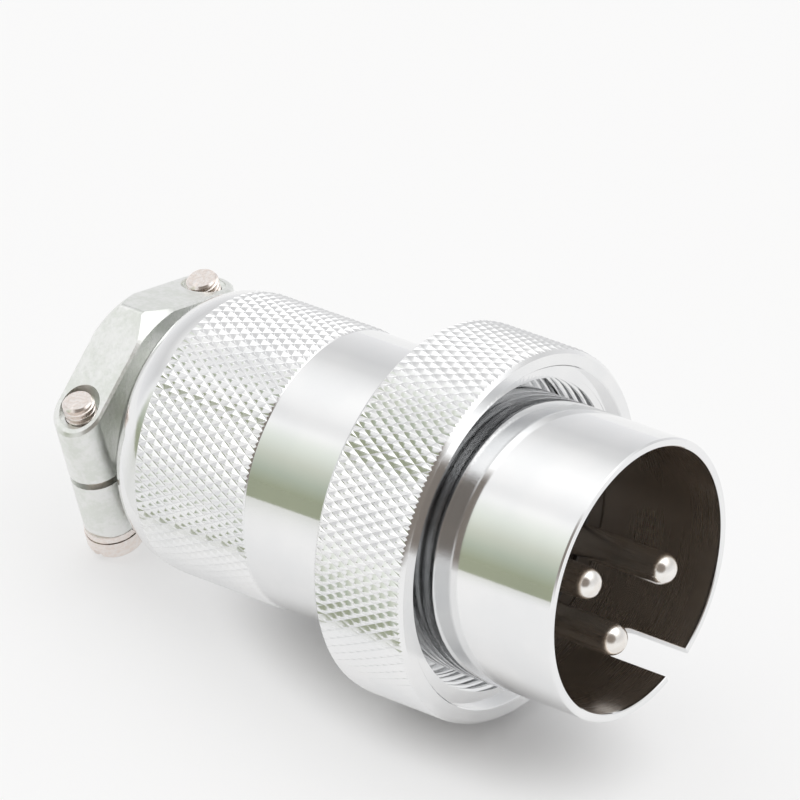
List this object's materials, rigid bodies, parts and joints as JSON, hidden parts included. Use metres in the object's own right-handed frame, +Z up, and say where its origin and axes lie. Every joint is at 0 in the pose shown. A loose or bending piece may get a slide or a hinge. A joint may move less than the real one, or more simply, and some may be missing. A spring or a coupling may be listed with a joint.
{
  "type": "circular cable plug connector",
  "caption": "Round metal cable plug with male contacts in a keyed sleeve, a knurled coupling nut, a knurled back shell and a screw cable clamp.",
  "frame": {"origin": "on the floor, below the middle of the plug's box, as the plug lies at rest on the heel of its nut, the rear edge of its knurled back shell and the head of its right clamp screw", "axes": "+X towards the mating end, +Z up; the plug's own axis stands nose-up by 9.6 degrees in the X-Z plane, and its clamp leans 16.3 degrees towards -Y"},
  "size_m": [0.0604, 0.035, 0.0361],
  "materials": {
    "bright_plate": "bright nickel-chrome plate on turned brass",
    "knurled_plate": "bright plate on diamond knurl",
    "cast_plate": "satin plate on a die casting",
    "contact_plate": "silver plate",
    "insulator_black": "moulded thermoset",
    "screw_nickel": "nickel plate",
    "spring_steel": "oiled spring steel",
    "nylon": "natural nylon"
  },
  "bodies": {
    "plug": {"front_shell": "bright_plate", "front_insulator": "insulator_black", "rear_insulator": "insulator_black", "insert_snap_ring": "spring_steel", "back_shell": "knurled_plate", "clamp_body": "cast_plate", "contact_pin_1": "contact_plate", "contact_pin_2": "contact_plate", "contact_pin_3": "contact_plate"},
    "slip_washer": {"slip_washer": "nylon"},
    "coupling_nut": {"coupling_nut": "knurled_plate"},
    "clamp_saddle": {"clamp_saddle": "cast_plate", "spring_washer_left": "screw_nickel", "spring_washer_right": "screw_nickel"},
    "clamp_screw_left": {"clamp_screw_left": "screw_nickel"},
    "clamp_screw_right": {"clamp_screw_right": "screw_nickel"}
  },
  "joints": [
    {"name": "nut_travel", "type": "slide", "parent": "plug", "child": "slip_washer", "axis": [0.9859, 0, 0.167], "range_m": [-0.0109, 0]},
    {"name": "nut_turn", "type": "hinge", "parent": "slip_washer", "child": "coupling_nut", "pos_m": [0.01535, 0, 0.01889], "axis": [0.9859, 0, 0.167], "continuous": true},
    {"name": "saddle_travel", "type": "slide", "parent": "plug", "child": "clamp_saddle", "axis": [-0.1603, -0.2807, 0.9463], "range_m": [-0.003, 0.0006]},
    {"name": "screw_left_turn", "type": "hinge", "parent": "clamp_saddle", "child": "clamp_screw_left", "pos_m": [-0.0263, 0.00888, 0.01446], "axis": [-0.1603, -0.2807, 0.9463], "range_deg": [-2170, 440]},
    {"name": "screw_right_turn", "type": "hinge", "parent": "clamp_saddle", "child": "clamp_screw_right", "pos_m": [-0.02543, -0.00888, 0.00934], "axis": [-0.1603, -0.2807, 0.9463], "range_deg": [-2170, 440]}
  ],
  "couplings": [
    {"joint": "screw_left_turn", "follows": "saddle_travel", "rad_per_m": 12566},
    {"joint": "screw_right_turn", "follows": "saddle_travel", "rad_per_m": 12566}
  ]
}
